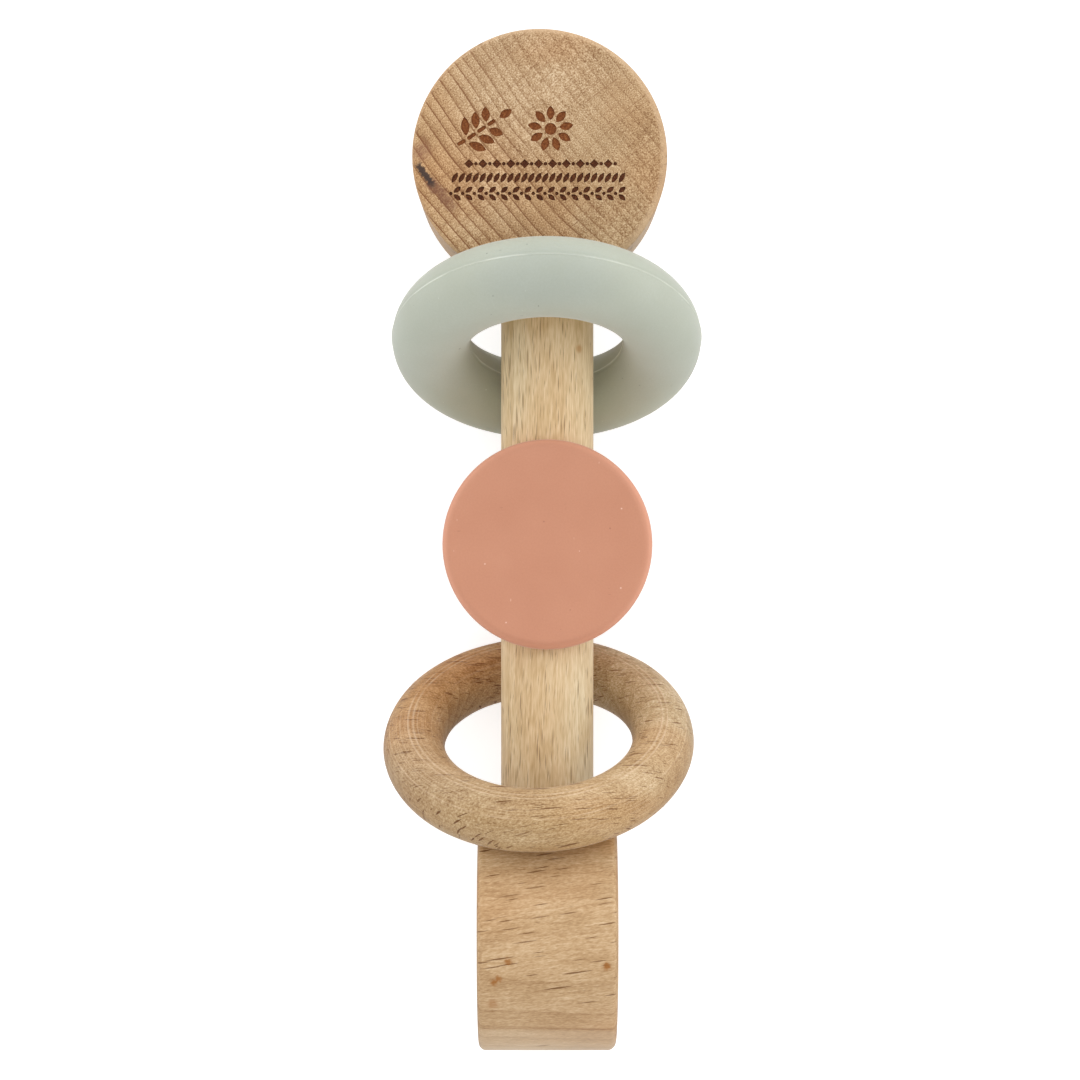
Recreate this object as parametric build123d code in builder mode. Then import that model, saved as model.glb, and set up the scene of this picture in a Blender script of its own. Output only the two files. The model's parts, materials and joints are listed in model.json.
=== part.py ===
from build123d import *
import os
from math import cos, radians

# Baby rattle, lying on a table.
# A round dowel joins two thick round discs: the head disc lies face up, and the foot disc is
# turned a quarter turn, so that it stands on its curved side. A silicone bead sits tight on
# the middle of the dowel. Two loose rings, one of silicone and one of wood, stand on the
# table around the dowel, and each leans on the disc at its end.
# +Y runs along the dowel towards the head, and +Z is up. The origin is on the table, under
# the middle of the dowel. Sizes are in millimetres and angles in degrees.

# Discs
disc_diameter = 40.4
disc_thickness = 22.0
disc_edge_radius = 1.2
disc_spacing = 122.9  # from the middle of the head disc to the middle of the foot disc
head_sideways = -1.2  # the head disc's middle lies this far to one side of its bore

# Dowel, glued into a blind bore in each disc
dowel_diameter = 15.0
dowel_end_chamfer = 0.8
socket_depth = 20.0  # from the disc's near side to the bottom of the bore
glue_pocket = 0.4  # room for glue beyond the dowel's end

# Bead
bead_diameter = 33.4
bead_thickness = 20.0
bead_edge_radius = 1.5

# Silicone ring, which leans towards the head
silicone_ring_diameter = 49.8
silicone_tube_diameter = 12.6
silicone_ring_place = (-0.1, 32.75)  # the ring's middle, seen from above
silicone_ring_lean = 28.2  # from square to the dowel, positive towards the head
silicone_ring_turn = 0.0  # about the upright through the ring's middle

# Wooden ring, which leans towards the foot
wooden_ring_diameter = 50.2
wooden_tube_diameter = 10.0
wooden_ring_place = (-1.4, -31.7)
wooden_ring_lean = -33.5
wooden_ring_turn = 2.2

# Places that follow from the sizes
axis_height = disc_diameter / 2  # the foot disc stands on the table
head_y = disc_spacing / 2
foot_y = -disc_spacing / 2
near_side_y = disc_spacing / 2 - disc_diameter / 2  # where both bores start, either way
dowel_length = 2 * (near_side_y + socket_depth - glue_pocket)


def glued_disc(middle, bore_start):
    """A thick disc with rounded edges and one blind bore, drilled in from its curved side.

    middle is the plane halfway through the disc, and bore_start touches the curved side, with
    its normal pointing into the disc.
    """
    with BuildPart() as disc:
        with BuildSketch(middle):
            Circle(disc_diameter / 2)
        extrude(amount=disc_thickness / 2, both=True)
        fillet(disc.edges().filter_by(GeomType.CIRCLE), disc_edge_radius)
        with BuildSketch(bore_start):
            Circle(dowel_diameter / 2)
        extrude(amount=socket_depth, mode=Mode.SUBTRACT)
    return disc


def leaning_plane(outer_diameter, tube_diameter, place, lean, turn):
    """The plane of a ring that stands on the table and leans; its Y points up the ring."""
    centre_radius = (outer_diameter - tube_diameter) / 2
    height = tube_diameter / 2 + centre_radius * cos(radians(lean))
    flat = Plane((place[0], place[1], height))
    return flat.rotated((90 - lean, 0, turn), ordering=Extrinsic.XYZ)


def ring(plane, outer_diameter, tube_diameter):
    """A ring of round section, lying in the given plane."""
    centre_radius = (outer_diameter - tube_diameter) / 2
    with BuildPart() as hoop:
        with BuildSketch(Plane(plane.origin, plane.x_dir, -plane.y_dir)):
            with Locations((centre_radius, 0)):
                Circle(tube_diameter / 2)
        revolve(axis=Axis(plane.origin, plane.z_dir))
    return hoop


def rocking_axis(name, plane, outer_diameter, tube_diameter):
    """Print where a ring rocks: about its lowest stretch of tube, across the dowel."""
    centre_radius = (outer_diameter - tube_diameter) / 2
    foot_point = plane.origin - plane.y_dir * centre_radius
    print(name, "rocks about", foot_point, "along", plane.x_dir)


with BuildPart() as dowel:
    with BuildSketch(Plane((0, 0, axis_height), x_dir=(1, 0, 0), z_dir=(0, 1, 0))):
        Circle(dowel_diameter / 2)
    extrude(amount=dowel_length / 2, both=True)
    chamfer(dowel.edges().filter_by(GeomType.CIRCLE), dowel_end_chamfer)

head_disc = glued_disc(
    middle=Plane((head_sideways, head_y, axis_height)),
    bore_start=Plane((0, near_side_y, axis_height), x_dir=(1, 0, 0), z_dir=(0, 1, 0)),
)

foot_disc = glued_disc(
    middle=Plane((0, foot_y, axis_height), x_dir=(0, 1, 0), z_dir=(1, 0, 0)),
    bore_start=Plane((0, -near_side_y, axis_height), x_dir=(1, 0, 0), z_dir=(0, -1, 0)),
)

with BuildPart() as silicone_bead:
    with BuildSketch(Plane((0, 0, axis_height))):
        Circle(bead_diameter / 2)
    extrude(amount=bead_thickness / 2, both=True)
    fillet(silicone_bead.edges().filter_by(GeomType.CIRCLE), bead_edge_radius)
    with BuildSketch(Plane((0, 0, axis_height), x_dir=(1, 0, 0), z_dir=(0, 1, 0))):
        Circle(dowel_diameter / 2)
    extrude(amount=bead_diameter / 2, both=True, mode=Mode.SUBTRACT)

silicone_plane = leaning_plane(
    silicone_ring_diameter,
    silicone_tube_diameter,
    silicone_ring_place,
    silicone_ring_lean,
    silicone_ring_turn,
)
silicone_ring = ring(silicone_plane, silicone_ring_diameter, silicone_tube_diameter)

wooden_plane = leaning_plane(
    wooden_ring_diameter,
    wooden_tube_diameter,
    wooden_ring_place,
    wooden_ring_lean,
    wooden_ring_turn,
)
wooden_ring = ring(wooden_plane, wooden_ring_diameter, wooden_tube_diameter)

rocking_axis("silicone_ring", silicone_plane, silicone_ring_diameter, silicone_tube_diameter)
rocking_axis("wooden_ring", wooden_plane, wooden_ring_diameter, wooden_tube_diameter)

pieces = {
    "dowel": dowel,
    "head_disc": head_disc,
    "foot_disc": foot_disc,
    "silicone_bead": silicone_bead,
    "silicone_ring": silicone_ring,
    "wooden_ring": wooden_ring,
}
os.makedirs("parts", exist_ok=True)
for name, piece in pieces.items():
    piece.part.label = name
    export_step(piece.part, f"parts/{name}.step")
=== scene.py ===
import json
import math

import bmesh
import bpy
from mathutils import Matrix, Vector, noise


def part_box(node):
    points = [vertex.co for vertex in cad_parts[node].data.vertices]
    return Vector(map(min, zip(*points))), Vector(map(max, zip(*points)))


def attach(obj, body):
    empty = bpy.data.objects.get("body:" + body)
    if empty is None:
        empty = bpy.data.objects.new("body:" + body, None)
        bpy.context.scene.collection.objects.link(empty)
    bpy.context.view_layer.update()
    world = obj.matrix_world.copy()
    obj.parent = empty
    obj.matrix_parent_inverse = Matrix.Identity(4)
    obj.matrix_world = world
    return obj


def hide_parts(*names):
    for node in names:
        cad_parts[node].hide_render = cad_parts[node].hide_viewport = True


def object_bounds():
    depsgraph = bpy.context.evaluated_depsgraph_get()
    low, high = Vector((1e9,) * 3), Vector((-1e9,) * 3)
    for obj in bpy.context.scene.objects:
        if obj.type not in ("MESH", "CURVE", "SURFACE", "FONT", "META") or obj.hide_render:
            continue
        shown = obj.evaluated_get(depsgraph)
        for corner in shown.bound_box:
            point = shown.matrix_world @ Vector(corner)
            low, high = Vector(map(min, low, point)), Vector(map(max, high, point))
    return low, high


# Baby rattle of beech and silicone, seen from straight above. The row frame is in metres: +Y runs
# along the dowel towards the head disc, and +Z is up. MM turns millimetres into metres.
MM = 0.001

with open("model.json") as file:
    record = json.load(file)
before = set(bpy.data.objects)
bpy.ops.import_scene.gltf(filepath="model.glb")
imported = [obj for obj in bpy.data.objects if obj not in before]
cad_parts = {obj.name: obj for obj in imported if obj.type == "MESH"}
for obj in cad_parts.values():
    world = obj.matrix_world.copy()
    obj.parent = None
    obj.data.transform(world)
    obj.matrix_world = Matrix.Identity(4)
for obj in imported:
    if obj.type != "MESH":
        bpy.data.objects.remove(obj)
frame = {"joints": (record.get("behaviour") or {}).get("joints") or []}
cad_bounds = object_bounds()
scene = bpy.context.scene


# ---------------------------------------------------------------- places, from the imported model


def middle(node):
    low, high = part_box(node)
    return (low + high) / 2


def joint_of(body):
    return next(j for j in frame["joints"] if j["child"] == body)


class RingPlace:
    """Where a leaning ring lies: its middle, its axes, and the radii of the ring and its tube."""

    def __init__(self, node):
        joint = joint_of(node)
        low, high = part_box(node)
        foot = Vector(joint["pos_m"])
        across = Vector(joint["axis"]).normalized()
        self.tube = foot.z
        half_width = (high.x - low.x) / 2 - self.tube
        self.radius = half_width
        for _ in range(4):
            upright = (high.z - 2 * self.tube) / (2 * self.radius)
            self.radius = half_width / math.sqrt(1 - (across.y * upright) ** 2)
        lean = math.acos(upright)
        forward = Vector((0, 0, 1)).cross(across)
        self.across = across
        self.up = Vector((0, 0, 1)) * math.cos(lean) + forward * math.sin(lean)
        self.normal = across.cross(self.up)
        self.centre = foot + self.up * self.radius

    def point(self, turn, angle, reach):
        """A point at a turn around the ring, and at an angle and a reach from the tube's middle."""
        out = self.across * math.cos(turn) + self.up * math.sin(turn)
        away = out * math.cos(angle) + self.normal * math.sin(angle)
        return self.centre + out * self.radius + away * reach


HEAD = middle("head_disc")
FOOT = middle("foot_disc")
BEAD = middle("silicone_bead")
DOWEL = middle("dowel")
DISC_RADIUS = (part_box("head_disc")[1].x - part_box("head_disc")[0].x) / 2
DISC_HALF = (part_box("head_disc")[1].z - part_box("head_disc")[0].z) / 2
BEAD_RADIUS = (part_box("silicone_bead")[1].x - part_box("silicone_bead")[0].x) / 2
BEAD_HALF = (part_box("silicone_bead")[1].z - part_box("silicone_bead")[0].z) / 2
DOWEL_RADIUS = (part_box("dowel")[1].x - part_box("dowel")[0].x) / 2
DOWEL_HALF = (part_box("dowel")[1].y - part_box("dowel")[0].y) / 2
HEAD_TOP = HEAD.z + DISC_HALF
X, Y, Z = Vector((1, 0, 0)), Vector((0, 1, 0)), Vector((0, 0, 1))
MINT = RingPlace("silicone_ring")
WOOD = RingPlace("wooden_ring")

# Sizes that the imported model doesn't give
CLEARANCE = 0.06 * MM  # between the dowel and a bore in a disc
DOWEL_CHAMFER = 0.8 * MM
GLUE_POCKET = 0.4 * MM  # beyond the dowel's end
ENGRAVING_DEPTH = 0.16 * MM
BORE_LIP = 0.3 * MM  # the rounding of a bore's mouth in wood
BEAD_LIP = 0.5 * MM  # and in the bead
BEAD_EDGE = 1.5 * MM
CUTTER_OUTSIDE = -3 * MM  # where a bore's cutter starts, outside the piece
TREE_HEART = 160.0  # how far the tree's heart is from each piece's middle, in millimetres

# The wooden ring's turned ridges: angle around the tube in degrees, and height in millimetres
RIDGES = ((91.0, 0.055), (81.5, 0.05), (-89.0, 0.05), (40.0, 0.03))
# The silicone ring's mould lines: angles around the tube in degrees
MOULD_LINES = (0.0, 180.0)

# Light and camera
FLOOR_HALF = 4.0
FLOOR_SHADE = 0.74
FLOOR_GLOW = 0.60
WALLS = 1.56
CEILING = 0.92
LIGHTER_SIDE = (0.15, 0.42, 0.0)
EYE_FROM_DOWEL = (-1.18 * MM, 0.70 * MM, 437.6 * MM)


# ---------------------------------------------------------------- material graphs


def linear(red, green, blue):
    """A colour given as 0 to 255, as the shader's linear values."""
    values = []
    for level in (red, green, blue):
        level = level / 255
        values.append(level / 12.92 if level <= 0.04045 else ((level + 0.055) / 1.055) ** 2.4)
    return (*values, 1.0)


class Graph:
    """A material's node tree, with short calls for the nodes that the materials here use."""

    def __init__(self, name):
        self.material = bpy.data.materials.new(name)
        self.material.use_nodes = True
        self.tree = self.material.node_tree
        self.tree.nodes.clear()
        self.out = self.tree.nodes.new("ShaderNodeOutputMaterial")
        self.coordinates = self.tree.nodes.new("ShaderNodeTexCoord")

    def feed(self, socket, value):
        if isinstance(value, bpy.types.NodeSocket):
            self.tree.links.new(value, socket)
        elif value is not None:
            socket.default_value = value

    def math(self, operation, first, second=None):
        node = self.tree.nodes.new("ShaderNodeMath")
        node.operation = operation
        self.feed(node.inputs[0], first)
        self.feed(node.inputs[1], second)
        return node.outputs[0]

    def add(self, *values):
        total = values[0]
        for value in values[1:]:
            total = self.math("ADD", total, value)
        return total

    def times(self, *values):
        total = values[0]
        for value in values[1:]:
            total = self.math("MULTIPLY", total, value)
        return total

    def less(self, first, second):
        return self.math("SUBTRACT", first, second)

    def vector(self, operation, first, second, output=0):
        node = self.tree.nodes.new("ShaderNodeVectorMath")
        node.operation = operation
        self.feed(node.inputs[0], first)
        self.feed(node.inputs[1], second)
        return node.outputs[output]

    def dot(self, vector, direction):
        return self.vector("DOT_PRODUCT", vector, tuple(direction), "Value")

    def join(self, x, y, z):
        node = self.tree.nodes.new("ShaderNodeCombineXYZ")
        for socket, value in zip(node.inputs, (x, y, z)):
            self.feed(socket, value)
        return node.outputs[0]

    def ease(self, value, low, high, start=0.0, end=1.0):
        """start at low, end at high, and a smooth change between them."""
        node = self.tree.nodes.new("ShaderNodeMapRange")
        node.interpolation_type = "SMOOTHSTEP"
        for key, number in (
            ("Value", value),
            ("From Min", low),
            ("From Max", high),
            ("To Min", start),
            ("To Max", end),
        ):
            self.feed(node.inputs[key], number)
        return node.outputs["Result"]

    def noise(self, vector, detail=2.0, rough=0.5):
        """Smooth random values, mostly 0.3 to 0.7 around 0.5."""
        node = self.tree.nodes.new("ShaderNodeTexNoise")
        self.feed(node.inputs["Vector"], vector)
        node.inputs["Scale"].default_value = 1.0
        node.inputs["Detail"].default_value = detail
        node.inputs["Roughness"].default_value = rough
        return node.outputs[0]

    def cells(self, vector, exponent=2.0):
        """The distance to the nearest of scattered points, and that point's random number."""
        node = self.tree.nodes.new("ShaderNodeTexVoronoi")
        node.distance = "MINKOWSKI"
        self.feed(node.inputs["Vector"], vector)
        node.inputs["Scale"].default_value = 1.0
        node.inputs["Exponent"].default_value = exponent
        node.inputs["Randomness"].default_value = 1.0
        split = self.tree.nodes.new("ShaderNodeSeparateColor")
        self.tree.links.new(node.outputs["Color"], split.inputs[0])
        return node.outputs["Distance"], split.outputs[0]

    def ramp(self, value, *stops):
        node = self.tree.nodes.new("ShaderNodeValToRGB")
        self.feed(node.inputs[0], value)
        elements = node.color_ramp.elements
        while len(elements) < len(stops):
            elements.new(0.5)
        for element, (position, colour) in zip(elements, stops):
            element.position = position
            element.color = colour
        return node.outputs[0]

    def blend(self, factor, first, second, mode="MIX"):
        node = self.tree.nodes.new("ShaderNodeMix")
        node.data_type = "RGBA"
        node.blend_type = mode
        self.feed(node.inputs["Factor"], factor)
        self.feed(node.inputs[6], first)
        self.feed(node.inputs[7], second)
        return node.outputs[2]

    def bump(self, height, depth, strength=1.0):
        """A bumped normal; depth is what a height of 1 stands for, in metres."""
        node = self.tree.nodes.new("ShaderNodeBump")
        node.inputs["Strength"].default_value = strength
        node.inputs["Distance"].default_value = depth
        self.feed(node.inputs["Height"], height)
        return node.outputs[0]

    def from_point(self, origin):
        """The object's own coordinates from a point, in millimetres."""
        moved = self.vector("SUBTRACT", self.coordinates.outputs["Object"], tuple(origin))
        return self.vector("MULTIPLY", moved, (1000.0, 1000.0, 1000.0))

    def spot(self, place, centre, size, soft=0.4):
        """1 in a round spot and 0 outside it; place, centre and size are in millimetres."""
        distance = self.vector("DISTANCE", place, tuple(centre), "Value")
        return self.ease(distance, size * (1 - soft), size * (1 + soft), 1.0, 0.0)

    def tube_section(self, place, ring):
        """Where a point lies in the section of a ring's tube: outward, and along the ring's
        axis, in millimetres. place starts at the ring's middle."""
        height = self.dot(place, ring.normal)
        squared = self.vector("DOT_PRODUCT", place, place, "Value")
        flat = self.math("SQRT", self.less(squared, self.math("POWER", height, 2.0)))
        return self.less(flat, ring.radius / MM), height

    def tube_line(self, place, ring, degrees, width):
        """1 on a line along a ring's tube, at an angle around the tube's section."""
        out, height = self.tube_section(place, ring)
        a = math.radians(degrees)
        out = self.less(out, ring.tube / MM * math.cos(a))
        height = self.less(height, ring.tube / MM * math.sin(a))
        gap = self.math("SQRT", self.add(self.math("POWER", out, 2.0), self.math("POWER", height, 2.0)))
        return self.ease(gap, width * 0.3, width, 1.0, 0.0)

    def finish(self, colour, roughness, normal, **extra):
        shader = self.tree.nodes.new("ShaderNodeBsdfPrincipled")
        self.feed(shader.inputs["Base Color"], colour)
        self.feed(shader.inputs["Roughness"], roughness)
        self.feed(shader.inputs["Normal"], normal)
        for key, value in extra.items():
            self.feed(shader.inputs[key.replace("_", " ")], value)
        self.tree.links.new(shader.outputs[0], self.out.inputs["Surface"])
        return self.material


def growth_rings(g, rings, place, t, r, l):
    """Growth rings about the tree's heart: how far into its ring a point is, squared, how strong
    the ring's dark line is there, and how far the lines have faded. rings is as in beech()."""
    spacing, strength, fade, fade_length = rings
    reach = g.math("SQRT", g.add(g.math("POWER", g.add(r, TREE_HEART), 2.0), g.math("POWER", t, 2.0)))
    wobble = g.less(g.noise(g.join(g.times(reach, 1 / 4.5), 3.7, g.times(l, 1 / 90)), 1.0), 0.5)
    reach = g.add(reach, g.times(wobble, 3.0))
    phase = g.math("FRACT", g.times(reach, 1 / spacing))
    line = g.times(g.ease(phase, 0.82, 0.93), g.ease(phase, 0.965, 1.0, 1.0, 0.0))
    faded = g.ease(g.dot(place, Vector(fade).normalized()), -fade_length, fade_length)
    patchy = g.noise(g.join(g.times(t, 1 / 7), g.times(reach, 1 / 2.5), g.times(l, 1 / 30)), 1.0)
    patchy = g.ease(patchy, 0.34, 0.62)
    line = g.times(line, strength, g.add(0.4, g.times(patchy, 0.6)))
    return g.math("POWER", phase, 2.0), g.times(line, g.less(1.0, g.times(faded, 0.86))), faded


def ray_flecks(g, flecks, place, t, r, l):
    """Rays on long grain: thin spindles along the fibres, in two layers of different size.
    flecks is as in beech()."""
    _, share, width, length, dense, thin_length = flecks
    density = g.ease(g.dot(place, Vector(dense).normalized()), -thin_length, thin_length)
    patch = g.noise(g.join(g.times(t, 1 / 5), g.times(r, 1 / 5), g.times(l, 1 / 14)), 1.0)
    rays = 0.0
    for scale, shift in ((1.0, 0.0), (1.45, 17.0)):
        spread = g.join(
            g.add(g.times(t, 1 / (width * scale)), shift),
            g.times(r, 1 / 3),
            g.times(l, 1 / (length * scale)),
        )
        distance, chance = g.cells(spread, 1.2)
        grown = g.add(chance, g.times(density, 0.5), g.times(g.less(patch, 0.5), 1.1))
        size = g.ease(grown, 1.25 - share, 1.75 - share, 0.0, 0.30)
        body = g.times(g.ease(g.less(size, distance), 0.0, 0.07), g.ease(chance, 0.1, 0.9, 0.55, 1.0))
        rays = g.math("MAXIMUM", rays, body)
    return rays


def end_rays(g, t, r, l, drift):
    """Rays on end grain: thin broken lines towards the tree's heart."""
    step = g.times(g.add(t, g.times(drift, 1.5)), 1 / 1.25)
    index = g.math("FLOOR", step)
    moved = g.times(g.less(g.noise(g.join(g.times(index, 7.31), 2.2, 0.6), 0.0), 0.5), 1.3)
    offset = g.math("ABSOLUTE", g.less(g.less(step, index), g.add(0.5, moved)))
    shown = g.noise(g.join(g.times(index, 3.17), g.times(r, 1 / 8), g.times(l, 1 / 12)), 1.0)
    return g.times(g.ease(offset, 0.03, 0.10, 1.0, 0.0), g.ease(shown, 0.47, 0.58))


def beech(name, origin, along, radial, side, end, rings, flecks, speckle, marks=(), gain=(1, 1, 1), bend=0.0):
    """Beech as a solid: growth rings, rays, pores and fibres, which run through the piece.

    along is the fibres' direction, and radial points away from the tree's heart, both in the row
    frame. side and end are (dark, middle, light) colours of long grain and of end grain. rings is
    (spacing, line strength, fade direction, fade length). flecks is (strength, share that shows,
    width, length, dense direction, length over which they thin out). speckle is (strength, length
    along the fibres). marks are callables that paint on the colour: each takes (graph, place,
    colour) and returns a colour. bend turns the fibres where y is low.
    """
    g = Graph(name)
    along = Vector(along).normalized()
    radial = Vector(radial)
    radial = (radial - along * radial.dot(along)).normalized()
    across = along.cross(radial)
    place = g.from_point(origin)
    t0 = g.dot(place, across)
    r0 = g.dot(place, radial)
    l0 = g.dot(place, along)
    if bend:
        turned = g.times(g.ease(g.dot(place, (0, 1, 0)), -21.0, -4.0, bend, 0.0), g.dot(place, (1, 0, 0)))
        t0 = g.add(t0, turned)

    # the fibres wander a little
    wide = g.join(g.times(t0, 1 / 16), g.times(r0, 1 / 16), g.times(l0, 1 / 45))
    drift = g.less(g.noise(wide, 1.0), 0.5)
    other = g.vector("ADD", wide, (31.7, 12.1, 5.3))
    drift_too = g.less(g.noise(other, 1.0), 0.5)
    t = g.add(t0, g.times(drift, 2.4))
    r = g.add(r0, g.times(drift_too, 1.6))

    band, line, faded = growth_rings(g, rings, place, t, r, l0)

    # pores: short along the fibres, a speckle on end grain
    sharp, grain = speckle
    fine = g.join(g.times(t, 1 / 0.21), g.times(r, 1 / 0.21), g.times(l0, 1 / grain))
    pores = g.less(g.noise(fine, 1.0, 0.7), 0.5)
    hair = g.join(g.times(t, 1 / 0.38), g.times(r, 1 / 0.38), g.times(l0, 1 / 13))
    streaks = g.less(g.noise(hair, 2.0, 0.55), 0.5)
    cloud = g.less(g.noise(g.join(g.times(t, 1 / 5), g.times(r, 1 / 5), g.times(l0, 1 / 9)), 2.0), 0.5)

    normal = g.coordinates.outputs["Normal"]
    facing = g.math("ABSOLUTE", g.dot(normal, along))
    on_end = g.ease(facing, 0.62, 0.97)

    rays = ray_flecks(g, flecks, place, t, r, l0)
    thin = g.times(end_rays(g, t, r, l0, drift_too), on_end)

    value = g.add(
        0.5,
        g.times(pores, sharp),
        g.times(streaks, g.add(0.42, g.times(on_end, -0.30))),
        g.times(cloud, 0.38),
        g.times(g.less(0.33, band), g.add(0.12, g.times(on_end, 0.16)), g.less(1.0, g.times(faded, 0.55))),
    )
    long_grain = g.ramp(value, (0.08, side[0]), (0.5, side[1]), (0.92, side[2]))
    end_grain = g.ramp(value, (0.08, end[0]), (0.5, end[1]), (0.92, end[2]))
    colour = g.blend(on_end, long_grain, end_grain)
    warm = g.noise(g.vector("ADD", wide, (5.0, 40.0, 9.0)), 2.0)
    colour = g.blend(g.ease(warm, 0.4, 0.68, 0.0, 0.40), colour, linear(240, 208, 172), "MULTIPLY")
    colour = g.blend(1.0, colour, (*gain, 1.0), "MULTIPLY")
    colour = g.blend(g.times(line, g.add(0.45, g.times(on_end, 0.55))), colour, linear(128, 84, 48))
    colour = g.blend(g.times(thin, 0.42), colour, linear(140, 96, 60))
    spindles = g.times(rays, flecks[0], g.less(1.0, g.times(on_end, 0.8)))
    colour = g.blend(spindles, colour, linear(108, 68, 28))
    for mark in marks:
        colour = mark(g, place, colour)

    rough = g.add(0.5, g.times(pores, 0.35), g.times(rays, 0.15))
    height = g.add(g.times(pores, 1.0), g.times(streaks, 0.5), g.times(rays, -0.8), g.times(line, -0.3))
    return g.finish(
        colour,
        rough,
        g.bump(height, 0.05 * MM, 0.8),
        Specular_IOR_Level=0.32,
        Sheen_Weight=0.18,
        Sheen_Roughness=0.25,
    )


def silicone(name, origin, colour, deep, light, dust, scatter, ring=None):
    """Matte moulded silicone: nearly even, with faint clouds, a fine skin, specks and lint in the
    two dust colours. On a ring, the lines where the mould's halves met are paler, its part towards
    -y is painted lighter and greener and its top is painted darker: painted light and shade. On the
    bead, the rounded edge is painted paler: a painted highlight."""
    g = Graph(name)
    place = g.from_point(origin)
    cloud = g.noise(g.vector("MULTIPLY", place, (1 / 9, 1 / 9, 1 / 9)), 2.0)
    grain = g.less(g.noise(g.vector("MULTIPLY", place, (3.2, 3.2, 3.2)), 2.0, 0.6), 0.5)
    value = g.add(g.times(g.less(cloud, 0.5), 0.45), g.times(grain, 0.4), 0.5)
    tone = g.ramp(value, (0.2, deep), (0.5, colour), (0.8, light))
    for cell, stretch, size, least, speck, strength in (
        (2.6, (1, 1, 1), 0.070, 0.60, dust[0], 0.5),
        (3.1, (1, 1, 1), 0.062, 0.58, dust[1], 0.75),
        (4.4, (1, 1, 1), 0.058, 0.55, dust[0], 1.0),
        (3.4, (1, 7, 3), 0.13, 0.90, dust[0], 0.55),
        (3.0, (6, 1.2, 3), 0.12, 0.90, dust[1], 0.7),
    ):
        moved = g.vector("ADD", place, (cell * 3.1, cell * 1.7, cell * 0.9))
        distance, chance = g.cells(g.vector("MULTIPLY", moved, tuple(k / cell for k in stretch)))
        radius = g.times(g.ease(chance, least, 1.0, 0.4, 1.0), g.ease(chance, least, least + 0.01), size)
        spot = g.ease(g.less(radius, distance), 0.0, size * 0.3)
        tone = g.blend(g.times(spot, strength), tone, speck)
    if ring:
        broken = g.ease(g.noise(g.vector("MULTIPLY", place, (0.12, 0.2, 0.2)), 2.0), 0.34, 0.6, 0.12, 0.6)
        for degrees in MOULD_LINES:
            line = g.tube_line(place, ring, degrees, 0.21)
            tone = g.blend(g.times(line, broken), tone, linear(222, 226, 214))
        # painted light: the ring's part towards -y lighter and greener
        far = g.ease(g.dot(place, (0, 1, 0)), -17.0, -4.0)
        tint = g.blend(far, (1.08, 1.13, 1.01, 1), (1, 1, 1, 1))
        tone = g.blend(1.0, tone, tint, "MULTIPLY")
        # painted shade: the ring's top darker
        crest = g.ease(g.dot(place, (0, 0, 1)), 19.0, 22.5)
        tone = g.blend(1.0, tone, g.blend(crest, (1, 1, 1, 1), (0.92, 0.93, 0.955, 1)), "MULTIPLY")
    else:
        # painted highlight: the bead's rounded edge paler where it turns away from the top
        facing = g.math("ABSOLUTE", g.dot(g.coordinates.outputs["Normal"], (0, 0, 1)))
        tone = g.blend(g.ease(facing, 1.0, 0.66, 0.0, 0.55), tone, linear(222, 158, 130))
    rough = g.add(0.56, g.times(grain, 0.2), g.times(g.less(cloud, 0.5), 0.12))
    return g.finish(
        tone,
        rough,
        g.bump(g.times(grain, 1.0), 0.02 * MM, 0.6),
        Specular_IOR_Level=0.38,
        Sheen_Weight=0.35,
        Sheen_Roughness=0.35,
        Subsurface_Weight=scatter,
        Subsurface_Radius=(1.0, 0.8, 0.6),
        Subsurface_Scale=1.2 * MM,
    )


# ---------------------------------------------------------------- mesh building


def add_object(name, vertices, faces, materials):
    mesh = bpy.data.meshes.new(name)
    mesh.from_pydata([tuple(v) for v in vertices], [], faces)
    mesh.validate()
    for material in materials:
        mesh.materials.append(material)
    made = bpy.data.objects.new(name, mesh)
    scene.collection.objects.link(made)
    return made


def tidy_normals(piece):
    editor = bmesh.new()
    editor.from_mesh(piece.data)
    bmesh.ops.recalc_face_normals(editor, faces=editor.faces)
    editor.to_mesh(piece.data)
    editor.free()


def smooth(piece):
    """Smooth shading that breaks at real edges and keeps flat faces flat."""
    tidy_normals(piece)
    piece.data.polygons.foreach_set("use_smooth", [True] * len(piece.data.polygons))
    piece.data.set_sharp_from_angle(angle=math.radians(32))
    weighted = piece.modifiers.new("flat faces", "WEIGHTED_NORMAL")
    weighted.keep_sharp = True
    weighted.weight = 90


def stack(rows):
    """Faces between rows of points, each row being one turn, and a face on each end."""
    vertices = [point for row in rows for point in row]
    count = len(rows[0])
    faces = []
    for k in range(len(rows) - 1):
        for i in range(count):
            j = (i + 1) % count
            faces.append((k * count + i, k * count + j, (k + 1) * count + j, (k + 1) * count + i))
    faces.append(tuple(reversed(range(count))))
    faces.append(tuple(range((len(rows) - 1) * count, len(rows) * count)))
    return vertices, faces


def disc(name, centre, axes, radius, half, edge, materials, turns=224, steps=9):
    """A thick disc. axes are its two side directions and its axis; edge(turn, side) is how far
    the edge is rounded there, side being 1 on top and -1 below."""
    first, second, axis = axes
    angles = [i / steps * math.pi / 2 for i in range(steps + 1)]
    levels = [(-1, a) for a in angles] + [(1, a) for a in reversed(angles)]
    rows = []
    for side, a in levels:
        row = []
        for i in range(turns):
            turn = 2 * math.pi * i / turns
            r = edge(turn, side)
            reach = radius - r * (1 - math.sin(a))
            height = side * (half - r * (1 - math.cos(a)))
            out = first * math.cos(turn) + second * math.sin(turn)
            row.append(centre + out * reach + axis * height)
        rows.append(row)
    vertices, faces = stack(rows)
    return add_object(name, vertices, faces, materials)


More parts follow.
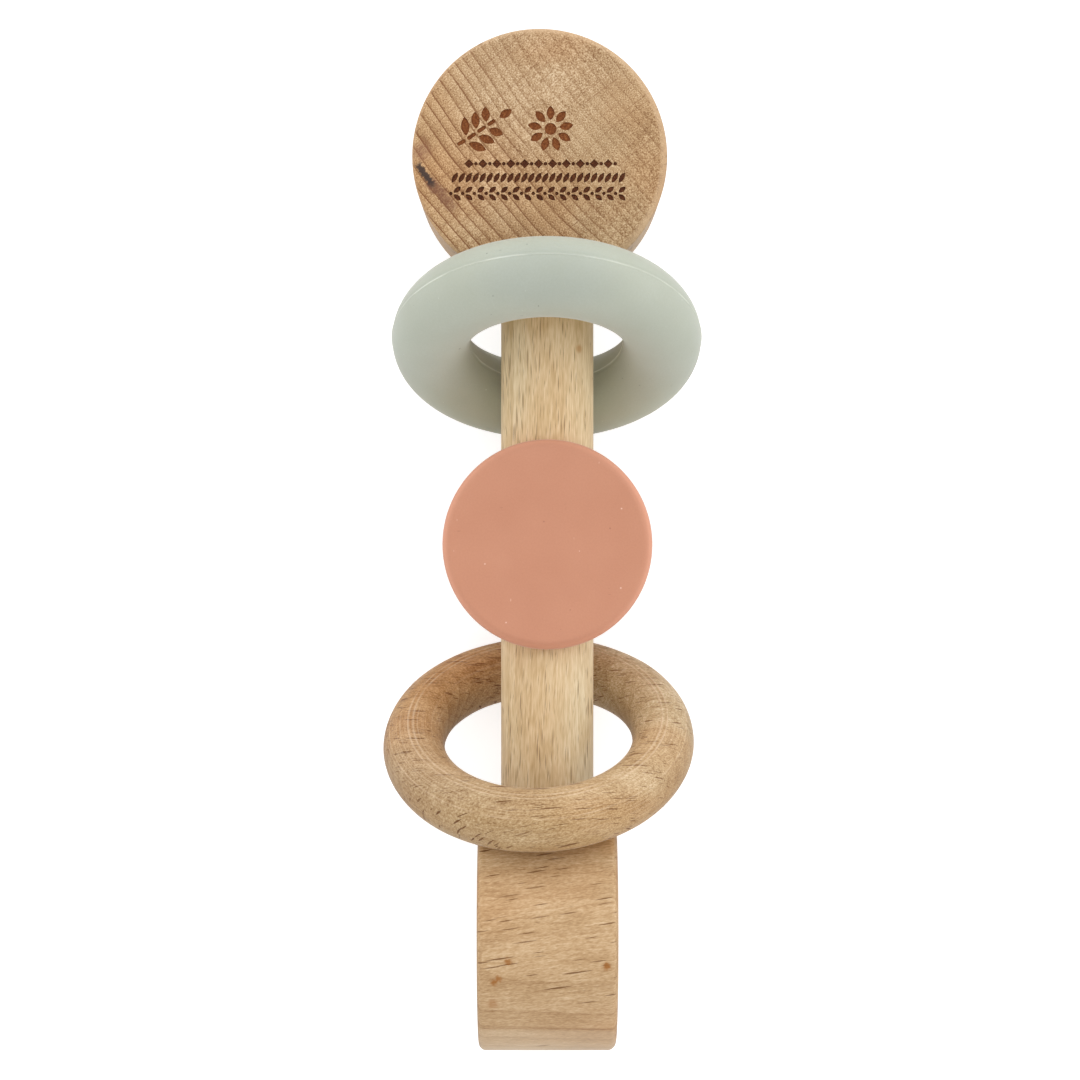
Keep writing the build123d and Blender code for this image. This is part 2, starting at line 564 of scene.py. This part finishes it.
def take_out(piece, cutter):
    """Cut the cutter's shape out of the piece; faces it leaves take the cutter's material."""
    tidy_normals(piece)
    tidy_normals(cutter)
    modifier = piece.modifiers.new("cut", "BOOLEAN")
    modifier.operation = "DIFFERENCE"
    modifier.solver = "EXACT"
    modifier.material_mode = "TRANSFER"
    modifier.object = cutter
    bpy.context.view_layer.update()
    graph = bpy.context.evaluated_depsgraph_get()
    cut = bpy.data.meshes.new_from_object(piece.evaluated_get(graph))
    piece.modifiers.clear()
    old = piece.data
    piece.data = cut
    cut.name = piece.name
    bpy.data.meshes.remove(old)
    old = cutter.data
    bpy.data.objects.remove(cutter)
    bpy.data.meshes.remove(old)


def bore_cutter(axis_point, inward, radius, depth, surface, lip, material, turns=96):
    """A round cutter along inward, a level direction, from axis_point to a depth, whose mouth
    flares where it leaves the piece. surface(offset) is how far in the piece's surface lies at
    an offset from the axis, and lip is the mouth's rounding."""
    other = inward.cross(Z)
    outs = []
    for i in range(turns):
        turn = 2 * math.pi * i / turns
        outs.append(Z * math.cos(turn) + other * math.sin(turn))
    rows = [[axis_point + out * (radius + lip * 2.5) + inward * CUTTER_OUTSIDE for out in outs]]
    for k in range(9):
        a = math.radians(-25 + k * 115 / 8)
        row = []
        for out in outs:
            reach = radius + lip * (1 - math.sin(a))
            inside = surface(out * reach) + lip * (1 - math.cos(a)) * (1 if a > 0 else -1)
            row.append(axis_point + out * reach + inward * inside)
        rows.append(row)
    rows.append([axis_point + out * radius + inward * depth for out in outs])
    vertices, faces = stack(rows)
    return add_object("bore cutter", vertices, faces, [material])


# ---------------------------------------------------------------- the wood and silicone


def tone(direction, low, high, first, second, top_only=False):
    """A mark that multiplies the wood's colour: from first at low to second at high, in millimetres along a
    direction. Both tints are (red, green, blue) factors. top_only keeps it off the sides. Some uses are
    the wood's own tint, and most are painted light and shade: one side lighter or darker, or a shadow."""

    def mark(g, place, colour):
        share = g.ease(g.dot(place, Vector(direction).normalized()), low, high)
        if top_only:
            share = g.times(share, g.ease(g.dot(place, (0, 0, 1)), 6.0, 12.0), curved_side(g))
        return g.blend(1.0, colour, g.blend(share, (*first, 1.0), (*second, 1.0)), "MULTIPLY")

    return mark


def curved_side(g):
    """1 on the foot's curved side and 0 on its flat faces."""
    across = g.math("ABSOLUTE", g.dot(g.coordinates.outputs["Normal"], (1, 0, 0)))
    return g.ease(across, 0.45, 0.9, 1.0, 0.0)


def stain(g, place, colour):
    """A ragged dark streak along one growth ring at the head's left edge, reddish around it."""
    run = Vector((0.60, -0.80, 0.0))
    over = Vector((0.80, 0.60, 0.0))
    moved = g.vector("SUBTRACT", place, (-19.5, -1.4, 0.0))
    u = g.dot(moved, run)
    v = g.dot(moved, over)
    ragged = g.join(g.times(u, 1 / 0.32), g.times(v, 1 / 0.9), g.dot(place, (0, 0, 0.3)))
    torn = g.less(g.noise(ragged, 3.0, 0.7), 0.5)
    blotch = g.less(g.noise(g.vector("MULTIPLY", place, (0.9, 0.9, 0.3)), 2.0, 0.6), 0.5)
    aside = g.math("ABSOLUTE", g.less(v, 0.12))
    width = g.add(0.62, g.times(torn, 1.9))
    black = g.times(
        g.ease(aside, g.times(width, 0.45), width, 1.0, 0.0),
        g.ease(g.add(u, g.times(torn, 1.2)), -0.2, 0.5),
        g.ease(g.add(u, g.times(torn, 2.0)), 3.6, 5.0, 1.0, 0.0),
    )
    width = g.add(1.25, g.times(blotch, 2.2), g.times(torn, 0.8))
    red = g.times(
        g.ease(g.math("ABSOLUTE", g.less(v, g.times(u, 0.05))), g.times(width, 0.35), width, 1.0, 0.0),
        g.ease(u, 2.0, 4.0),
        g.ease(g.add(u, g.times(blotch, 4.0)), 7.0, 11.0, 1.0, 0.0),
    )
    above = g.spot(place, (-18.7, 0.6, 11.0), 1.3, 0.7)
    wedge = g.times(
        g.ease(g.math("ABSOLUTE", g.less(g.dot(place, over), -13.0)), 0.1, 0.5, 1.0, 0.0),
        g.ease(g.dot(place, run), -13.9, -13.3),
        g.ease(g.dot(place, run), -12.6, -10.5, 1.0, 0.0),
    )
    colour = g.blend(g.times(red, g.add(0.72, g.times(torn, 1.4))), colour, linear(118, 74, 52))
    colour = g.blend(g.times(above, g.add(0.55, g.times(torn, 1.6))), colour, linear(136, 90, 66))
    colour = g.blend(g.times(wedge, 0.7), colour, linear(132, 90, 56))
    return g.blend(g.times(black, 0.93), colour, linear(50, 36, 34))


def painted_rim_highlight(g, place, colour):
    """The head's rounded edge is painted paler than its face, most of all on the right: a painted highlight
    where the edge catches light.
    """
    facing = g.dot(g.coordinates.outputs["Normal"], (0, 0, 1))
    edge = g.times(g.ease(facing, 0.995, 0.93), g.ease(facing, 0.3, 0.6))
    share = g.ease(g.dot(place, (1, 0, 0)), -18.0, 16.0, 0.10, 0.36)
    return g.blend(g.times(edge, share), colour, linear(206, 176, 140))


def growth_line_and_painted_reflection(g, place, colour):
    """A growth ring meets the foot's far side: a thin line, with the wood beyond it painted paler, a painted
    reflection of the bright surroundings where the side turns away.
    """
    low = g.dot(place, (0.012, 1.0, 0.0))
    here = g.times(curved_side(g), g.ease(g.dot(place, (0, 0, 1)), -9.0, 1.0))
    # painted reflection: the paler wood beyond the growth line
    beyond = g.times(g.ease(low, -15.2, -14.4, 0.26, 0.0), here)
    colour = g.blend(beyond, colour, linear(204, 184, 158))
    line = g.ease(g.math("ABSOLUTE", g.add(low, 14.5)), 0.06, 0.2, 1.0, 0.0)
    broken = g.ease(g.noise(g.vector("MULTIPLY", place, (0.25, 1.0, 1.0)), 1.0), 0.35, 0.6, 0.15, 0.5)
    return g.blend(g.times(line, broken, here), colour, linear(140, 100, 64))


def foot_spots(g, place, colour):
    """Small brown spots on the foot's top, with torn edges."""
    shake = g.noise(g.vector("MULTIPLY", place, (1.6, 1.6, 1.6)), 2.0)
    uneven = g.join(g.less(shake, 0.5), g.times(g.less(shake, 0.5), -2.0), 0.0)
    for x, y, z, size, strength in (
        (-6.1, -3.1, 20.0, 0.50, 0.8),
        (9.2, -3.9, 19.8, 0.58, 0.9),
        (-8.3, -6.4, 19.2, 0.55, 0.85),
        (-7.6, -5.9, 19.3, 0.5, 0.8),
        (-8.5, -10.0, 17.5, 0.8, 0.45),
    ):
        torn = g.vector("ADD", place, g.vector("MULTIPLY", uneven, (0.6, 0.6, 0.6)))
        spot = g.spot(torn, (x, y, z), size, 0.6)
        colour = g.blend(g.times(spot, strength), colour, linear(150, 92, 26))
    return colour


def dowel_spots(g, place, colour):
    """One brown spot near the dowel's right edge, under the silicone ring."""
    spot = g.spot(place, (5.1, 31.3, 5.5), 0.6, 0.6)
    return g.blend(g.times(spot, 0.55), colour, linear(178, 118, 56))


def lathe_marks_and_ridge_highlights(g, place, colour):
    """Paler and greyer fine lines, which run around the wooden ring, and pale lines along its turned ridges:
    painted highlights where the ridges catch light.
    """
    out, height = g.tube_section(place, WOOD)
    turned = g.noise(g.join(g.times(out, 1 / 0.24), g.times(height, 1 / 0.24), 0.0), 1.0, 0.7)
    patch = g.noise(g.vector("MULTIPLY", place, (1 / 9, 1 / 9, 1 / 9)), 1.0)
    pale = g.times(g.ease(turned, 0.50, 0.62), g.ease(patch, 0.38, 0.6, 0.05, 0.24))
    colour = g.blend(pale, colour, linear(214, 186, 154))
    grey = g.times(g.ease(turned, 0.48, 0.36), g.ease(patch, 0.38, 0.6, 0.04, 0.18))
    colour = g.blend(grey, colour, linear(150, 110, 74))
    broken = g.ease(g.noise(g.vector("MULTIPLY", place, (0.35, 0.35, 0.35)), 2.0), 0.36, 0.56, 0.25, 1.0)
    # painted highlights: pale lines along the turned ridges
    for degrees, strength in RIDGES:
        line = g.tube_line(place, WOOD, degrees, 0.24)
        colour = g.blend(g.times(line, broken, strength * 6.5), colour, linear(222, 196, 166))
    return colour


head_wood = beech(
    "head_beech",
    HEAD,
    along=(0.03, -0.02, 1),
    radial=(-0.76, -0.65, 0),
    side=(linear(176, 138, 98), linear(200, 163, 122), linear(218, 184, 144)),
    end=(linear(128, 86, 46), linear(189, 152, 110), linear(236, 206, 166)),
    rings=(1.75, 1.0, (0.8, 0.6, 0), 9.0),
    flecks=(0.5, 0.42, 0.6, 6.0, (0, 0, 1), 30.0),
    speckle=(1.5, 0.8),
    marks=(
        tone((1, 0.1, 0), -20.0, -5.0, (0.95, 0.87, 0.76), (1, 1, 1)),
        tone((0.75, -0.65, 0), -6.0, 8.0, (1, 1, 1.02), (0.94, 0.94, 0.92)),
        # painted highlight on the head's rounded edge, strongest on the right
        painted_rim_highlight,
        stain,
    ),
    gain=(0.92, 0.96, 1.0),
)
foot_wood = beech(
    "foot_beech",
    FOOT,
    along=(1, 0.13, 0),
    radial=(0, -0.12, 1),
    side=(linear(146, 104, 58), linear(199, 163, 121), linear(238, 210, 174)),
    end=(linear(140, 104, 66), linear(184, 150, 112), linear(214, 184, 148)),
    rings=(2.1, 0.34, (0, 1, 0), 16.0),
    flecks=(0.85, 0.66, 0.46, 7.5, (0, 1, 0.2), 8.0),
    speckle=(0.66, 0.8),
    marks=(
        # painted light: the foot's top lighter towards the wooden ring, against the ring's shadow
        tone((0, 1, 0), 1.0, 9.0, (1, 1, 1), (1.03, 1.09, 1.14), True),
        # painted shadow: a warm darker shade on the foot's top under the wooden ring
        tone((0, 1, 0), 11.5, 15.0, (1, 1, 1), (1.08, 0.97, 0.84), True),
        # painted shade: the foot darker towards its -y side, where less light falls
        tone((0, -1, 0), 2.0, 10.0, (1, 1, 1), (0.96, 0.96, 0.955)),
        # a growth line, and a painted reflection beyond it
        growth_line_and_painted_reflection,
        foot_spots,
    ),
    gain=(0.895, 0.905, 0.90),
)
dowel_wood = beech(
    "dowel_beech",
    DOWEL,
    along=(0.01, 1, 0),
    radial=(-0.08, 0, 1),
    side=(linear(168, 130, 80), linear(208, 178, 136), linear(238, 214, 180)),
    end=(linear(150, 112, 72), linear(180, 146, 108), linear(202, 170, 132)),
    rings=(2.4, 0.10, (1, 0, 0), 8.0),
    flecks=(0.58, 0.90, 0.25, 5.0, (-1, 0, 0.3), 7.0),
    speckle=(0.66, 2.4),
    marks=(
        # painted light: the dowel's right side lighter, where more light falls
        tone((1, 0, 0), 1.0, 7.2, (1, 1, 1), (1.06, 1.17, 1.30)),
        # painted light: the dowel's left edge lighter, against the shading falloff towards its edge
        tone((-1, 0, 0), 4.0, 7.4, (1, 1, 1), (1.05, 1.04, 1.02)),
        # painted shade: the dowel darker towards the wooden ring
        tone((0, -1, 0), 8.0, 26.0, (1, 1, 1), (0.93, 0.935, 0.95)),
        # painted shadow: a warm dark band on the dowel under the silicone ring
        tone((0, 1, 0), 32.0, 36.0, (1, 1, 1), (0.96, 0.92, 0.84)),
        dowel_spots,
    ),
    gain=(1.14, 1.26, 1.36),
)
ring_wood = beech(
    "ring_beech",
    WOOD.centre,
    along=(1.0, 0.02, 0.10),
    radial=(0.0, 0.28, 1.0),
    side=(linear(140, 100, 58), linear(196, 160, 119), linear(236, 208, 174)),
    end=(linear(136, 96, 56), linear(184, 148, 108), linear(216, 186, 150)),
    rings=(1.9, 0.10, (0.3, -1, 0), 18.0),
    flecks=(0.95, 1.04, 0.34, 7.0, (-0.5, 0.8, 0), 26.0),
    speckle=(1.1, 0.45),
    marks=(
        # painted light and shade: the ring darker on its left and lighter on its right
        tone((1, 0, 0), -20.0, 18.0, (0.92, 0.94, 0.96), (1.10, 1.18, 1.24)),
        # painted shade: the ring's part towards -y darker and warmer
        tone((0, 1, 0), -11.0, -3.0, (0.93, 0.85, 0.72), (1, 1, 1)),
        # painted shade: a warm darker tint on the ring's far part, as in its shadow
        tone((-0.5, 1, 0), 5.0, 17.0, (1, 1, 1), (1.08, 0.87, 0.64)),
        # lathe marks, and painted highlights on the turned ridges
        lathe_marks_and_ridge_highlights,
    ),
    gain=(0.83, 0.88, 0.89),
    bend=0.40,
)

mint = silicone(
    "mint_silicone",
    MINT.centre,
    linear(175, 180, 166),
    linear(168, 173, 157),
    linear(183, 189, 176),
    (linear(118, 122, 110), linear(206, 212, 202)),
    0.10,
    MINT,
)
terracotta = silicone(
    "terracotta_silicone",
    BEAD,
    linear(195, 136, 108),
    linear(188, 128, 100),
    linear(202, 144, 116),
    (linear(150, 92, 70), linear(232, 196, 178)),
    0.08,
)


def burnt(name, dark, middle, light):
    """Charred wood at the bottom of the engraving."""
    g = Graph(name)
    place = g.from_point(HEAD)
    fine = g.noise(g.vector("MULTIPLY", place, (4.0, 4.0, 0.6)), 3.0, 0.6)
    colour = g.ramp(fine, (0.3, dark), (0.5, middle), (0.7, light))
    return g.finish(colour, 0.75, g.bump(fine, 0.06 * MM, 0.8), Specular_IOR_Level=0.2)


char = burnt("burnt_beech", linear(92, 46, 18), linear(120, 66, 30), linear(148, 92, 50))
deep_char = burnt("deep_burnt_beech", linear(58, 26, 10), linear(84, 42, 18), linear(116, 68, 36))


# ---------------------------------------------------------------- pieces


def wave(turn, *parts):
    return sum(size * math.sin(count * turn + start) for count, size, start in parts)


def head_edge(turn, side):
    """Hand sanding left the edge rounder on the right than on the left and at the top."""
    base = 1.05 + 0.42 * math.cos(turn + 0.25) + 0.12 * math.cos(2 * turn + 1.9)
    return max(0.5, base + wave(turn, (5, 0.05, 0.4), (9, 0.03, 2.0))) * MM


def foot_edge(turn, side):
    return (1.15 + 0.1 * side + wave(turn, (2, 0.14, 1.0), (5, 0.06, 0.2), (11, 0.03, 1.1))) * MM


def bead_edge(turn, side):
    return BEAD_EDGE


def dowel():
    """The dowel, slightly uneven between its chamfered ends."""
    rows = []
    turns = 96
    count = 120
    straight = DOWEL_HALF - DOWEL_CHAMFER
    stations = [(-DOWEL_HALF, -DOWEL_CHAMFER), (-straight, 0.0)]
    stations += [(-straight + 2 * straight * k / count, None) for k in range(1, count)]
    stations += [(straight, 0.0), (DOWEL_HALF, -DOWEL_CHAMFER)]
    for along, shrink in stations:
        row = []
        for i in range(turns):
            turn = 2 * math.pi * i / turns
            out = X * math.cos(turn) - Z * math.sin(turn)
            uneven = noise.noise(Vector((3 * math.cos(turn), 3 * math.sin(turn), along * 60)))
            reach = DOWEL_RADIUS + (shrink if shrink is not None else 0.03 * MM * (uneven - 0.5))
            row.append(DOWEL + out * reach + Y * along)
        rows.append(row)
    vertices, faces = stack(rows)
    made = add_object("dowel_turned", vertices, faces, [dowel_wood])
    smooth(made)
    return made


def leaf(length, width, count=14):
    """The outline of a leaf that starts at the origin and points along +x."""
    points = []
    for k in range(count):
        u = k / (count - 1)
        points.append((length * u, width / 2 * math.sin(math.pi * u) ** 0.8))
    return points + [(x, -y) for x, y in reversed(points[1:-1])]


def capsule(length, width, count=7):
    """The outline of a dash with round ends, around the origin."""
    half = (length - width) / 2
    points = []
    for side in (1, -1):
        for k in range(count):
            a = math.pi * (k / (count - 1) - 0.5)
            points.append((side * (half + width / 2 * math.cos(a)), side * width / 2 * math.sin(a)))
    return points


def round_spot(width, count=14):
    turns = [2 * math.pi * k / count for k in range(count)]
    return [(width / 2 * math.cos(turn), width / 2 * math.sin(turn)) for turn in turns]


def placed(outline, x, y, degrees=0.0):
    c, s = math.cos(math.radians(degrees)), math.sin(math.radians(degrees))
    return [(x + c * u - s * v, y + s * u + c * v) for u, v in outline]


def ornament():
    """A sprig and a flower, as outlines in millimetres from the middle of the head's face."""
    outlines = []
    # sprig: a stem in short runs, with a pair of leaves at each joint
    stem = [(-13.2, 1.6), (-11.6, 2.5), (-10.0, 3.6), (-8.4, 4.7), (-6.9, 5.7)]
    for (x0, y0), (x1, y1) in zip(stem, stem[1:]):
        run = math.degrees(math.atan2(y1 - y0, x1 - x0))
        length = math.hypot(x1 - x0, y1 - y0)
        outlines.append(placed(capsule(length - 0.35, 0.62), (x0 + x1) / 2, (y0 + y1) / 2, run))
    for k, (x, y) in enumerate(stem[1:4]):
        size = 3.0 - 0.3 * k
        outlines.append(placed(leaf(size, 1.35), x - 0.05, y + 0.62, 95))
        outlines.append(placed(leaf(size, 1.35), x + 0.35, y - 0.52, -22))
    outlines.append(placed(leaf(2.3, 1.3), -6.4, 6.0, 32))
    # flower: a round middle in a wreath of petals
    outlines.append(placed(round_spot(1.9, 24), 1.7, 4.2))
    for k in range(9):
        turn = 90 + 40 * k
        a = math.radians(turn)
        outlines.append(placed(leaf(2.25, 1.25), 1.7 + 1.4 * math.cos(a), 4.2 + 1.4 * math.sin(a), turn))
    return outlines


def lozenge(length, width):
    return [(length / 2, 0), (0, width / 2), (-length / 2, 0), (0, -width / 2)]


def ornament_rows():
    """Three rows of plain marks under the sprig: lozenges, leaves, and ears of two leaves."""
    outlines = []
    x = -11.2
    while x < 11.3:
        outlines.append(placed(lozenge(1.5, 1.45), x, -1.3))
        outlines.append(placed(round_spot(0.58), x + 1.1, -1.3))
        x += 2.2
    x = -13.9
    while x < 13.2:
        outlines.append(placed(leaf(1.85, 0.78, 9), x, -4.3, 60))
        x += 1.1
    x = -13.6
    while x < 13.0:
        outlines.append(placed(leaf(1.45, 0.76, 9), x, -5.86, 40))
        outlines.append(placed(leaf(1.45, 0.76, 9), x, -6.14, -40))
        outlines.append(placed(round_spot(0.56), x - 0.46, -6.0))
        x += 1.86
    return outlines


def head_disc():
    materials = [head_wood, char, deep_char]
    made = disc("head_disc_engraved", HEAD, (X, Y, Z), DISC_RADIUS, DISC_HALF, head_edge, materials)
    mouth = Vector((DOWEL.x, HEAD.y - DISC_RADIUS, DOWEL.z))

    def surface(offset):
        return DISC_RADIUS - math.sqrt(DISC_RADIUS**2 - (mouth.x + offset.x - HEAD.x) ** 2)

    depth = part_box("dowel")[1].y - mouth.y + GLUE_POCKET
    take_out(made, bore_cutter(mouth, Y, DOWEL_RADIUS + CLEARANCE, depth, surface, BORE_LIP, head_wood))
    for outlines, material in ((ornament(), char), (ornament_rows(), deep_char)):
        take_out(made, engraver(outlines, material))
    smooth(made)
    return made


def engraver(outlines, material):
    """A cutter that sinks outlines into the head's face, a little narrower at the bottom."""
    vertices, faces = [], []
    for outline in outlines:
        cx = sum(x for x, _ in outline) / len(outline)
        cy = sum(y for _, y in outline) / len(outline)
        start = len(vertices)
        count = len(outline)
        for level, share in ((-ENGRAVING_DEPTH, 0.90), (0.0, 1.0), (0.4 * MM, 1.0)):
            for x, y in outline:
                px, py = cx + (x - cx) * share, cy + (y - cy) * share
                vertices.append((HEAD.x + px * MM, HEAD.y + py * MM, HEAD_TOP + level))
        for k in (0, 1):
            for i in range(count):
                j = (i + 1) % count
                a = start + k * count
                faces.append((a + i, a + j, a + count + j, a + count + i))
        faces.append(tuple(reversed(range(start, start + count))))
        faces.append(tuple(range(start + 2 * count, start + 3 * count)))
    return add_object("engraver", vertices, faces, [material])


def foot_disc():
    made = disc("foot_disc_rounded", FOOT, (Y, Z, X), DISC_RADIUS, DISC_HALF, foot_edge, [foot_wood])
    mouth = Vector((DOWEL.x, FOOT.y + DISC_RADIUS, DOWEL.z))

    def surface(offset):
        return DISC_RADIUS - math.sqrt(DISC_RADIUS**2 - (mouth.z + offset.z - FOOT.z) ** 2)

    depth = mouth.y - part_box("dowel")[0].y + GLUE_POCKET
    take_out(made, bore_cutter(mouth, -Y, DOWEL_RADIUS + CLEARANCE, depth, surface, BORE_LIP, foot_wood))
    smooth(made)
    return made


def bead():
    made = disc("bead_moulded", BEAD, (X, Y, Z), BEAD_RADIUS, BEAD_HALF, bead_edge, [terracotta], 256, 12)

    def surface(offset):
        return BEAD_RADIUS - math.sqrt(BEAD_RADIUS**2 - offset.x**2)

    # one cutter from each end, which meet just past the middle
    depth = BEAD_RADIUS + 0.5 * MM
    for side in (1, -1):
        mouth = Vector((DOWEL.x, BEAD.y - side * BEAD_RADIUS, DOWEL.z))
        take_out(made, bore_cutter(mouth, Y * side, DOWEL_RADIUS, depth, surface, BEAD_LIP, terracotta, 128))
    smooth(made)
    return made


def ring(name, place, section, angles, material, turns=288):
    """A ring whose tube has the given section: section(turn, angle) is its reach from the
    tube's middle, and angles are the places around the tube that carry points."""
    count = len(angles)
    vertices, faces = [], []
    for i in range(turns):
        turn = 2 * math.pi * i / turns
        for angle in angles:
            vertices.append(place.point(turn, angle, section(turn, angle)))
        for j in range(count):
            a, b = i * count + j, i * count + (j + 1) % count
            c, d = (i + 1) % turns * count + (j + 1) % count, (i + 1) % turns * count + j
            faces.append((a, b, c, d))
    made = add_object(name, vertices, faces, [material])
    tidy_normals(made)
    made.data.polygons.foreach_set("use_smooth", [True] * len(made.data.polygons))
    return made


def spread(coarse, lines, reach, step, tube):
    """Angles around a tube: coarse ones in degrees, and fine ones near each line, where reach
    and step are distances along the skin in metres."""
    found = {round(360 * k / coarse, 4) for k in range(coarse)}
    for line in lines:
        half = math.degrees(reach / tube)
        found = {a for a in found if abs((a - line + 180) % 360 - 180) > half}
        steps = round(reach / step)
        for k in range(-steps, steps + 1):
            found.add(round((line + math.degrees(k * step / tube)) % 360, 4))
    return [math.radians(a) for a in sorted(found)]


def away(angle, degrees):
    """How far an angle is from a line, in radians, with its sign."""
    return (angle - math.radians(degrees) + math.pi) % (2 * math.pi) - math.pi


def mint_ring():
    def section(turn, angle):
        reach = MINT.tube - 0.04 * MM
        for line in MOULD_LINES:
            skin = away(angle, line) * MINT.tube
            reach += 0.10 * MM * math.exp(-((skin / (0.13 * MM)) ** 2))
            reach -= 0.045 * MM * math.exp(-(((skin + 0.38 * MM) / (0.22 * MM)) ** 2))
        return reach

    angles = spread(60, MOULD_LINES, 0.9 * MM, 0.075 * MM, MINT.tube)
    return ring("silicone_ring_moulded", MINT, section, angles, mint)


def wooden_ring():
    def section(turn, angle):
        reach = WOOD.tube - 0.05 * MM
        for line, height in RIDGES:
            skin = away(angle, line) * WOOD.tube
            reach += height * MM * math.exp(-((skin / (0.12 * MM)) ** 2))
            reach -= 0.03 * MM * math.exp(-(((skin - 0.3 * MM) / (0.25 * MM)) ** 2))
        facet = 0.035 * MM * math.cos(9 * angle + 0.8)
        uneven = 0.03 * MM * wave(turn, (3, 1.0, 0.5), (7, 0.5, 1.3), (13, 0.4, 2.0))
        return reach + facet * 0.6 + uneven * math.cos(angle - 1.0)

    angles = spread(60, [line for line, _ in RIDGES], 0.45 * MM, 0.075 * MM, WOOD.tube)
    return ring("wooden_ring_turned", WOOD, section, angles, ring_wood)


for node, make, body, slot in (
    ("dowel", dowel, "frame", "beech_dowel"),
    ("head_disc", head_disc, "frame", "beech_disc"),
    ("foot_disc", foot_disc, "frame", "beech_disc"),
    ("silicone_bead", bead, "frame", "terracotta_silicone"),
    ("silicone_ring", mint_ring, "silicone_ring", "mint_silicone"),
    ("wooden_ring", wooden_ring, "wooden_ring", "beech_ring"),
):
    piece = make()
    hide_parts(node)
    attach(piece, body)


# ---------------------------------------------------------------- floor, light and camera


def floor():
    """A pale floor that glows a little, as a light table does. The glow whitens the floor's own
    shadows and lights nothing else."""
    low = cad_bounds[0][2] - 0.02 * MM
    corners = [(x * FLOOR_HALF, y * FLOOR_HALF, low) for x, y in ((-1, -1), (1, -1), (1, 1), (-1, 1))]
    g = Graph("floor")
    pale = (FLOOR_SHADE, FLOOR_SHADE, FLOOR_SHADE, 1)
    material = g.finish(pale, 0.9, None, Emission_Color=(1, 1, 1, 1), Emission_Strength=FLOOR_GLOW)
    made = add_object("floor", corners, [(0, 1, 2, 3)], [material])
    lit = bpy.data.collections.new("lit by the floor")
    lit.objects.link(made)
    made.light_linking.receiver_collection = lit


def studio():
    """Soft light from all around: bright walls, and a dimmer ceiling where the camera stands."""
    world = bpy.data.worlds.new("studio")
    world.use_nodes = True
    tree = world.node_tree
    coordinates = tree.nodes.new("ShaderNodeTexCoord")
    split = tree.nodes.new("ShaderNodeSeparateXYZ")
    tree.links.new(coordinates.outputs["Generated"], split.inputs[0])
    height = tree.nodes.new("ShaderNodeMapRange")
    height.interpolation_type = "SMOOTHSTEP"
    for key, value in (("From Min", 0.25), ("From Max", 1.0), ("To Min", WALLS), ("To Max", CEILING)):
        height.inputs[key].default_value = value
    tree.links.new(split.outputs["Z"], height.inputs["Value"])
    lean = tree.nodes.new("ShaderNodeVectorMath")
    lean.operation = "DOT_PRODUCT"
    lean.inputs[1].default_value = LIGHTER_SIDE
    tree.links.new(coordinates.outputs["Generated"], lean.inputs[0])
    total = tree.nodes.new("ShaderNodeMath")
    tree.links.new(height.outputs[0], total.inputs[0])
    tree.links.new(lean.outputs["Value"], total.inputs[1])
    background = tree.nodes["Background"]
    background.inputs["Color"].default_value = (1, 1, 1, 1)
    tree.links.new(total.outputs[0], background.inputs["Strength"])
    scene.world = world


floor()
studio()

view = bpy.data.cameras.new("photo view")
view.lens = 90
view.sensor_width = 36
view.clip_start = 0.01
eye = bpy.data.objects.new("photo view", view)
eye.location = [at + offset for at, offset in zip(DOWEL, EYE_FROM_DOWEL)]
scene.collection.objects.link(eye)
scene.camera = eye
scene.view_settings.view_transform = "Standard"
scene.view_settings.look = "None"
